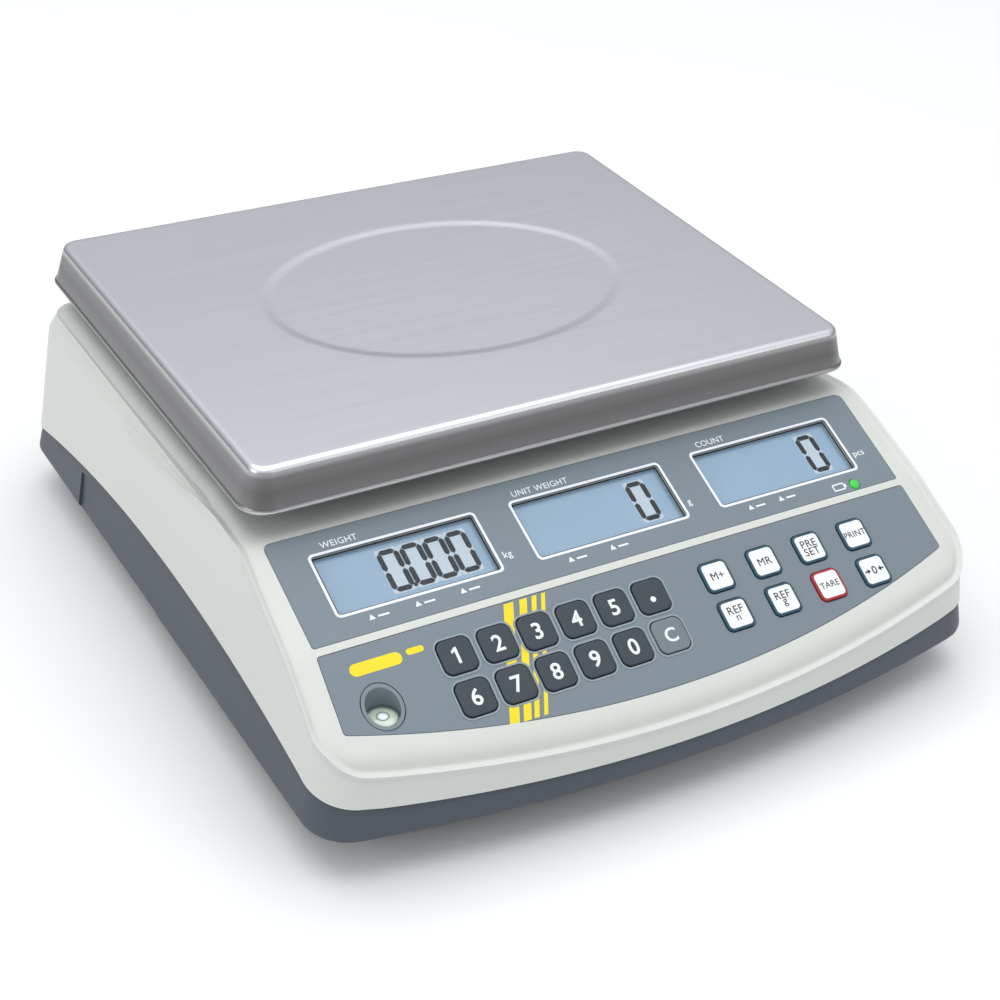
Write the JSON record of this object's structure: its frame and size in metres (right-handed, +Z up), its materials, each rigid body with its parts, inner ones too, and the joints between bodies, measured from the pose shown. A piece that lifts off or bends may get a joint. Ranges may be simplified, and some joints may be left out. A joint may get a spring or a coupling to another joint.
{
  "type": "counting scale",
  "caption": "Bench counting scale: stainless weighing plate over a wedge-shaped two-tone casing, with a sloping front of liquid-crystal windows, number and function keys and a level.",
  "frame": {"origin": "on the table, under the middle of the casing", "axes": "+X to the user's right, +Y from the keypad to the rear, +Z up"},
  "size_m": [0.32, 0.35, 0.125],
  "materials": {
    "stainless_plate": "satin brushed",
    "cast_aluminium": "as cast, lightly blasted",
    "machined_aluminium": "milled",
    "zinc_steel": "bright zinc plate",
    "chassis_steel": "galvanised sheet",
    "casing_white": "fine spark texture",
    "casing_grey": "fine spark texture",
    "overlay_film": "satin printed film",
    "clear_window": "clear polished",
    "lcd_panel": "backlit panel",
    "circuit_board": "solder mask",
    "led_green": "tinted lens",
    "key_dark": "satin",
    "key_white": "satin",
    "dome_silicone": "matte silicone",
    "black_rubber": "matte",
    "level_cup": "polished",
    "level_vial": "clear, tinted liquid",
    "cable_sheath": "matte",
    "ribbon_cable": "satin",
    "battery_case": "moulded",
    "black_plastic": "satin",
    "socket_metal": "tin plated"
  },
  "bodies": {
    "base": {"load_cell": "machined_aluminium", "load_cell_lower_spacer": "machined_aluminium", "load_cell_bolts": "zinc_steel", "overload_stop": "zinc_steel", "chassis_plate": "chassis_steel", "upper_casing": "casing_white", "lower_casing": "casing_grey", "case_screws": "zinc_steel", "display_overlay": "overlay_film", "keypad_overlay": "overlay_film", "display_lenses": "clear_window", "lcd_modules": "lcd_panel", "display_board": "circuit_board", "charge_led": "led_green", "keypad_board": "circuit_board", "key_domes": "dome_silicone", "spirit_level_cup": "level_cup", "spirit_level_vial": "level_vial", "main_board": "circuit_board", "load_cell_cable": "cable_sheath", "display_ribbon": "ribbon_cable", "battery": "battery_case", "battery_cover": "casing_grey", "power_switch_housing": "black_plastic", "power_jack": "black_plastic", "serial_port": "socket_metal"},
    "carrier": {"plate_carrier": "cast_aluminium", "carrier_pads": "black_rubber", "carrier_bolts": "zinc_steel", "load_cell_upper_spacer": "machined_aluminium"},
    "plate": {"weighing_plate": "stainless_plate"},
    "rocker": {"power_switch_rocker": "black_plastic"},
    "foot_front_left": {"foot_pad_front_left": "black_rubber", "foot_screw_front_left": "zinc_steel"},
    "foot_front_right": {"foot_pad_front_right": "black_rubber", "foot_screw_front_right": "zinc_steel"},
    "foot_rear_left": {"foot_pad_rear_left": "black_rubber", "foot_screw_rear_left": "zinc_steel"},
    "foot_rear_right": {"foot_pad_rear_right": "black_rubber", "foot_screw_rear_right": "zinc_steel"},
    "key_1": {"key_1": "key_dark"},
    "key_2": {"key_2": "key_dark"},
    "key_3": {"key_3": "key_dark"},
    "key_4": {"key_4": "key_dark"},
    "key_5": {"key_5": "key_dark"},
    "key_point": {"key_point": "key_dark"},
    "key_6": {"key_6": "key_dark"},
    "key_7": {"key_7": "key_dark"},
    "key_8": {"key_8": "key_dark"},
    "key_9": {"key_9": "key_dark"},
    "key_0": {"key_0": "key_dark"},
    "key_clear": {"key_clear": "key_dark"},
    "key_memory_add": {"key_memory_add": "key_white"},
    "key_memory_recall": {"key_memory_recall": "key_white"},
    "key_preset": {"key_preset": "key_white"},
    "key_print": {"key_print": "key_white"},
    "key_ref_count": {"key_ref_count": "key_white"},
    "key_ref_weight": {"key_ref_weight": "key_white"},
    "key_tare": {"key_tare": "key_white"},
    "key_zero": {"key_zero": "key_white"}
  },
  "joints": [
    {"name": "load_travel", "type": "slide", "parent": "base", "child": "carrier", "axis": [0, 0, -1], "range_m": [0, 0.0005], "stiffness_N_per_m": 100000, "springref_m": -0.00015, "deforming": ["load_cell"]},
    {"name": "plate_lift", "type": "slide", "parent": "carrier", "child": "plate", "axis": [0, 0, 1], "range_m": [0, 0.03]},
    {"name": "front_left_foot_height", "type": "slide", "parent": "base", "child": "foot_front_left", "axis": [0, 0, 1], "range_m": [-0.004, 0.004]},
    {"name": "front_right_foot_height", "type": "slide", "parent": "base", "child": "foot_front_right", "axis": [0, 0, 1], "range_m": [-0.004, 0.004]},
    {"name": "rear_left_foot_height", "type": "slide", "parent": "base", "child": "foot_rear_left", "axis": [0, 0, 1], "range_m": [-0.004, 0.004]},
    {"name": "rear_right_foot_height", "type": "slide", "parent": "base", "child": "foot_rear_right", "axis": [0, 0, 1], "range_m": [-0.004, 0.004]},
    {"name": "power_rocker", "type": "hinge", "parent": "base", "child": "rocker", "pos_m": [0.12, -0.06, 0.0206], "axis": [0, 1, 0], "range_deg": [0, 18]},
    {"name": "key_1_press", "type": "slide", "parent": "base", "child": "key_1", "axis": [0, 0.4955, -0.8686], "range_m": [0, 0.0005], "stiffness_N_per_m": 1500, "springref_m": -0.0004, "deforming": ["key_domes"]},
    {"name": "key_2_press", "type": "slide", "parent": "base", "child": "key_2", "axis": [0, 0.4955, -0.8686], "range_m": [0, 0.0005], "stiffness_N_per_m": 1500, "springref_m": -0.0004, "deforming": ["key_domes"]},
    {"name": "key_3_press", "type": "slide", "parent": "base", "child": "key_3", "axis": [0, 0.4955, -0.8686], "range_m": [0, 0.0005], "stiffness_N_per_m": 1500, "springref_m": -0.0004, "deforming": ["key_domes"]},
    {"name": "key_4_press", "type": "slide", "parent": "base", "child": "key_4", "axis": [0, 0.4955, -0.8686], "range_m": [0, 0.0005], "stiffness_N_per_m": 1500, "springref_m": -0.0004, "deforming": ["key_domes"]},
    {"name": "key_5_press", "type": "slide", "parent": "base", "child": "key_5", "axis": [0, 0.4955, -0.8686], "range_m": [0, 0.0005], "stiffness_N_per_m": 1500, "springref_m": -0.0004, "deforming": ["key_domes"]},
    {"name": "key_point_press", "type": "slide", "parent": "base", "child": "key_point", "axis": [0, 0.4955, -0.8686], "range_m": [0, 0.0005], "stiffness_N_per_m": 1500, "springref_m": -0.0004, "deforming": ["key_domes"]},
    {"name": "key_6_press", "type": "slide", "parent": "base", "child": "key_6", "axis": [0, 0.4955, -0.8686], "range_m": [0, 0.0005], "stiffness_N_per_m": 1500, "springref_m": -0.0004, "deforming": ["key_domes"]},
    {"name": "key_7_press", "type": "slide", "parent": "base", "child": "key_7", "axis": [0, 0.4955, -0.8686], "range_m": [0, 0.0005], "stiffness_N_per_m": 1500, "springref_m": -0.0004, "deforming": ["key_domes"]},
    {"name": "key_8_press", "type": "slide", "parent": "base", "child": "key_8", "axis": [0, 0.4955, -0.8686], "range_m": [0, 0.0005], "stiffness_N_per_m": 1500, "springref_m": -0.0004, "deforming": ["key_domes"]},
    {"name": "key_9_press", "type": "slide", "parent": "base", "child": "key_9", "axis": [0, 0.4955, -0.8686], "range_m": [0, 0.0005], "stiffness_N_per_m": 1500, "springref_m": -0.0004, "deforming": ["key_domes"]},
    {"name": "key_0_press", "type": "slide", "parent": "base", "child": "key_0", "axis": [0, 0.4955, -0.8686], "range_m": [0, 0.0005], "stiffness_N_per_m": 1500, "springref_m": -0.0004, "deforming": ["key_domes"]},
    {"name": "key_clear_press", "type": "slide", "parent": "base", "child": "key_clear", "axis": [0, 0.4955, -0.8686], "range_m": [0, 0.0005], "stiffness_N_per_m": 1500, "springref_m": -0.0004, "deforming": ["key_domes"]},
    {"name": "key_memory_add_press", "type": "slide", "parent": "base", "child": "key_memory_add", "axis": [0, 0.4955, -0.8686], "range_m": [0, 0.0005], "stiffness_N_per_m": 1500, "springref_m": -0.0004, "deforming": ["key_domes"]},
    {"name": "key_memory_recall_press", "type": "slide", "parent": "base", "child": "key_memory_recall", "axis": [0, 0.4955, -0.8686], "range_m": [0, 0.0005], "stiffness_N_per_m": 1500, "springref_m": -0.0004, "deforming": ["key_domes"]},
    {"name": "key_preset_press", "type": "slide", "parent": "base", "child": "key_preset", "axis": [0, 0.4955, -0.8686], "range_m": [0, 0.0005], "stiffness_N_per_m": 1500, "springref_m": -0.0004, "deforming": ["key_domes"]},
    {"name": "key_print_press", "type": "slide", "parent": "base", "child": "key_print", "axis": [0, 0.4955, -0.8686], "range_m": [0, 0.0005], "stiffness_N_per_m": 1500, "springref_m": -0.0004, "deforming": ["key_domes"]},
    {"name": "key_ref_count_press", "type": "slide", "parent": "base", "child": "key_ref_count", "axis": [0, 0.4955, -0.8686], "range_m": [0, 0.0005], "stiffness_N_per_m": 1500, "springref_m": -0.0004, "deforming": ["key_domes"]},
    {"name": "key_ref_weight_press", "type": "slide", "parent": "base", "child": "key_ref_weight", "axis": [0, 0.4955, -0.8686], "range_m": [0, 0.0005], "stiffness_N_per_m": 1500, "springref_m": -0.0004, "deforming": ["key_domes"]},
    {"name": "key_tare_press", "type": "slide", "parent": "base", "child": "key_tare", "axis": [0, 0.4955, -0.8686], "range_m": [0, 0.0005], "stiffness_N_per_m": 1500, "springref_m": -0.0004, "deforming": ["key_domes"]},
    {"name": "key_zero_press", "type": "slide", "parent": "base", "child": "key_zero", "axis": [0, 0.4955, -0.8686], "range_m": [0, 0.0005], "stiffness_N_per_m": 1500, "springref_m": -0.0004, "deforming": ["key_domes"]}
  ]
}
